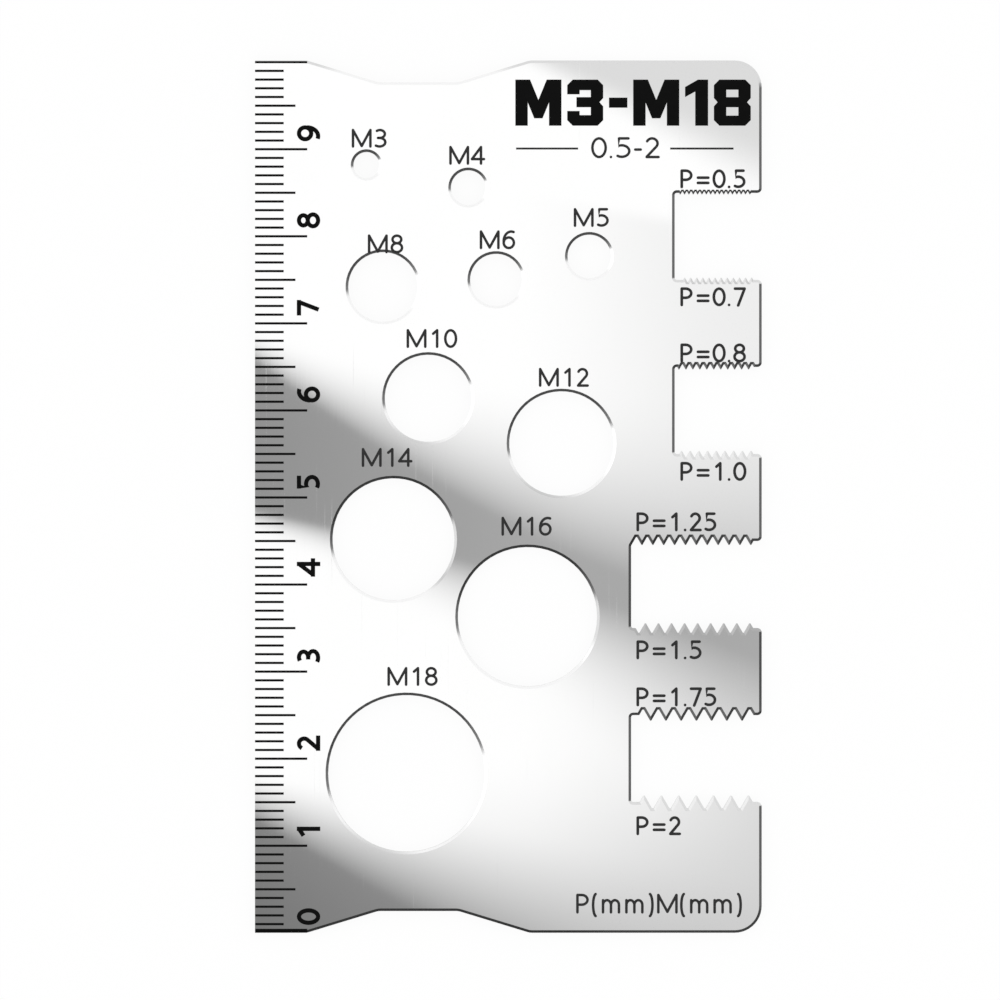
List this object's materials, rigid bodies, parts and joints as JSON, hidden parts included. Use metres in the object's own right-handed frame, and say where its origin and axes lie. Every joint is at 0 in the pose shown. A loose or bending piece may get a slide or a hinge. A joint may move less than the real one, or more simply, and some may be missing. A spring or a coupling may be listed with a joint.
{
  "type": "thread pitch gauge",
  "caption": "Flat stainless steel thread gauge card with round sizing holes, toothed pitch notches in one edge and a ruler along the other.",
  "frame": {"origin": "centre of the card's underside", "axes": "+Z out of the marked face, +Y along the ruler from 0 to 10 cm, +X from the ruler edge towards the notched edge"},
  "size_m": [0.0582, 0.1002, 0.0012],
  "materials": {
    "plate_steel": "polished, with fine grain",
    "mark_fill": "satin black fill"
  },
  "bodies": {
    "root": {"gauge_plate": "plate_steel", "centimetre_line_fill": "mark_fill", "half_centimetre_line_fill": "mark_fill", "millimetre_line_fill": "mark_fill"}
  },
  "joints": []
}
